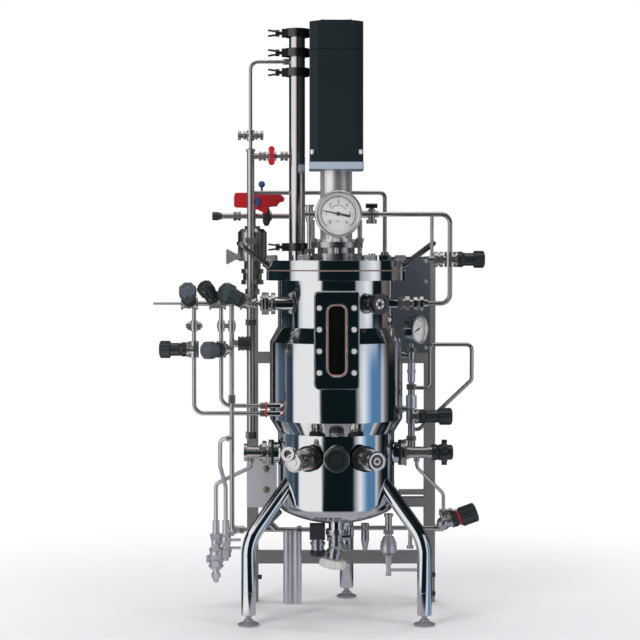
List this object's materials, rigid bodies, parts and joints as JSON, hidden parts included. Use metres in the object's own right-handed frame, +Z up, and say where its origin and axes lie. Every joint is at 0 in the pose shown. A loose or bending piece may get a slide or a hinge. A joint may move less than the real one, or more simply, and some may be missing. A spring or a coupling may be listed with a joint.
{
  "type": "bench bioreactor",
  "caption": "Bench bioreactor: jacketed stirred steel vessel on three legs with motor drive, condenser, sight glass, gauges, hand valves and service frame.",
  "frame": {"origin": "On the bench top, under the vessel's axis, at the middle of the circle through the three feet.", "axes": "+Z is up along the vessel's axis and the stirrer shaft. -Y is the front, which has the sight glass. +X is to the right seen from the front."},
  "size_m": [0.5633, 0.3487, 1.029],
  "materials": {
    "polished_steel": "mirror-polished stainless steel",
    "satin_steel": "satin stainless steel tube and fittings",
    "motor_grey": "dark grey-green paint",
    "flange_grey": "blue-grey paint",
    "frame_grey": "grey paint",
    "panel_grey": "grey sheet",
    "black_plastic": "black moulded plastic",
    "white_plastic": "white moulded plastic",
    "red_plastic": "red dipped plastic",
    "blue_plastic": "blue moulded plastic",
    "silicone": "pink silicone",
    "glass": "clear glass",
    "dial_white": "white printed dial",
    "needle_black": "black needle"
  },
  "bodies": {
    "vessel": {"vessel_shell": "polished_steel", "jacket_shell": "polished_steel", "head_plate": "polished_steel", "head_gasket": "silicone", "head_bolts": "satin_steel", "lifting_handles": "satin_steel", "sight_glass_cover": "polished_steel", "sight_glass_pane": "glass", "sight_glass_gasket": "silicone", "cap_screws": "satin_steel", "legs": "polished_steel", "levelling_feet": "satin_steel", "motor_housing": "motor_grey", "motor_flange": "flange_grey", "coupling_lantern": "polished_steel", "seal_housing": "satin_steel", "baffles": "polished_steel", "sparger_tube": "polished_steel", "condenser_column": "satin_steel", "tri_clamps": "satin_steel", "riser_pipe": "satin_steel", "cooling_pipe": "satin_steel", "head_steam_pipe": "satin_steel", "filter_housing": "satin_steel", "gauge_manifold": "satin_steel", "gauge_cases": "polished_steel", "gauge_dials": "dial_white", "gauge_lenses": "glass", "left_manifold": "satin_steel", "right_manifold": "satin_steel", "valve_bonnets": "black_plastic", "port_fittings": "satin_steel", "port_caps": "black_plastic", "lower_pipes": "satin_steel", "steam_traps": "satin_steel", "drain_valve": "satin_steel", "condensate_sensor": "black_plastic", "service_frame": "frame_grey", "frame_panel": "panel_grey"},
    "stirrer": {"stirrer_shaft": "polished_steel", "stirrer_blades": "polished_steel"},
    "main_needle": {"main_gauge_needle": "needle_black"},
    "side_needle": {"side_gauge_needle": "needle_black"},
    "left_knob_1": {"left_knob_1": "black_plastic"},
    "left_knob_2": {"left_knob_2": "black_plastic"},
    "left_knob_3": {"left_knob_3": "black_plastic"},
    "left_knob_4": {"left_knob_4": "black_plastic"},
    "left_knob_5": {"left_knob_5": "black_plastic"},
    "knob_top": {"right_knob_top": "black_plastic"},
    "knob_middle": {"right_knob_middle": "black_plastic"},
    "knob_port": {"right_knob_port": "black_plastic"},
    "knob_low": {"right_knob_low": "black_plastic"},
    "drain_wheel": {"drain_wheel": "white_plastic"},
    "drain_side_wheel": {"drain_side_wheel": "black_plastic"},
    "cooling_handle": {"cooling_handle": "red_plastic"},
    "filter_lever": {"filter_lever": "red_plastic", "filter_lever_caps": "blue_plastic"},
    "filter_tap": {"filter_tap_handle": "satin_steel"},
    "gauge_tap": {"gauge_tap_handle": "satin_steel"}
  },
  "joints": [
    {"name": "stirrer_spin", "type": "hinge", "parent": "vessel", "child": "stirrer", "pos_m": [0, 0, 0.64], "axis": [0, 0, 1], "continuous": true},
    {"name": "main_needle_turn", "type": "hinge", "parent": "vessel", "child": "main_needle", "pos_m": [0.003, -0.068, 0.697], "axis": [0, -1, 0], "range_deg": [-217, 53]},
    {"name": "side_needle_turn", "type": "hinge", "parent": "vessel", "child": "side_needle", "pos_m": [0.138, 0.002, 0.498], "axis": [0.7986, -0.6018, 0], "range_deg": [-245, 25]},
    {"name": "left_knob_1_turn", "type": "hinge", "parent": "vessel", "child": "left_knob_1", "pos_m": [-0.25, -0.06, 0.545], "axis": [0, -0.866, 0.5], "range_deg": [0, 540]},
    {"name": "left_knob_2_turn", "type": "hinge", "parent": "vessel", "child": "left_knob_2", "pos_m": [-0.202, -0.06, 0.545], "axis": [-0.4096, -0.7094, 0.5736], "range_deg": [0, 540]},
    {"name": "left_knob_3_turn", "type": "hinge", "parent": "vessel", "child": "left_knob_3", "pos_m": [-0.15, -0.06, 0.545], "axis": [-0.6288, -0.6983, 0.342], "range_deg": [0, 540]},
    {"name": "left_knob_4_turn", "type": "hinge", "parent": "vessel", "child": "left_knob_4", "pos_m": [-0.242, -0.06, 0.467], "axis": [-1, 0, 0], "range_deg": [0, 540]},
    {"name": "left_knob_5_turn", "type": "hinge", "parent": "vessel", "child": "left_knob_5", "pos_m": [-0.188, -0.06, 0.467], "axis": [-0.6428, -0.766, 0], "range_deg": [0, 540]},
    {"name": "right_knob_top_turn", "type": "hinge", "parent": "vessel", "child": "knob_top", "pos_m": [0.224, -0.042, 0.62], "axis": [1, 0, 0], "range_deg": [0, 540]},
    {"name": "right_knob_middle_turn", "type": "hinge", "parent": "vessel", "child": "knob_middle", "pos_m": [0.161, 0.007, 0.347], "axis": [1, 0, 0], "range_deg": [0, 540]},
    {"name": "right_knob_port_turn", "type": "hinge", "parent": "vessel", "child": "knob_port", "pos_m": [0.18, 0, 0.285], "axis": [1, 0, 0], "range_deg": [0, 540]},
    {"name": "right_knob_low_turn", "type": "hinge", "parent": "vessel", "child": "knob_low", "pos_m": [0.188, 0.02, 0.158], "axis": [0.9397, 0, 0.342], "range_deg": [0, 540]},
    {"name": "drain_wheel_turn", "type": "hinge", "parent": "vessel", "child": "drain_wheel", "pos_m": [0, 0, 0.124], "axis": [-0.1736, 0, -0.9848], "range_deg": [0, 540]},
    {"name": "drain_side_wheel_turn", "type": "hinge", "parent": "vessel", "child": "drain_side_wheel", "pos_m": [-0.032, 0, 0.11], "axis": [0, 0, -1], "range_deg": [0, 540]},
    {"name": "cooling_handle_turn", "type": "hinge", "parent": "vessel", "child": "cooling_handle", "pos_m": [-0.112, 0.015, 0.8], "axis": [0, -1, 0], "range_deg": [0, 90]},
    {"name": "filter_lever_turn", "type": "hinge", "parent": "vessel", "child": "filter_lever", "pos_m": [-0.15, 0.1, 0.724], "axis": [0, -1, 0], "range_deg": [0, 90]},
    {"name": "filter_tap_turn", "type": "hinge", "parent": "vessel", "child": "filter_tap", "pos_m": [-0.18, 0.13, 0.625], "axis": [-1, 0, 0], "range_deg": [0, 90]},
    {"name": "gauge_tap_turn", "type": "hinge", "parent": "vessel", "child": "gauge_tap", "pos_m": [0.06, -0.042, 0.706], "axis": [0, 0, 1], "range_deg": [0, 90]}
  ]
}
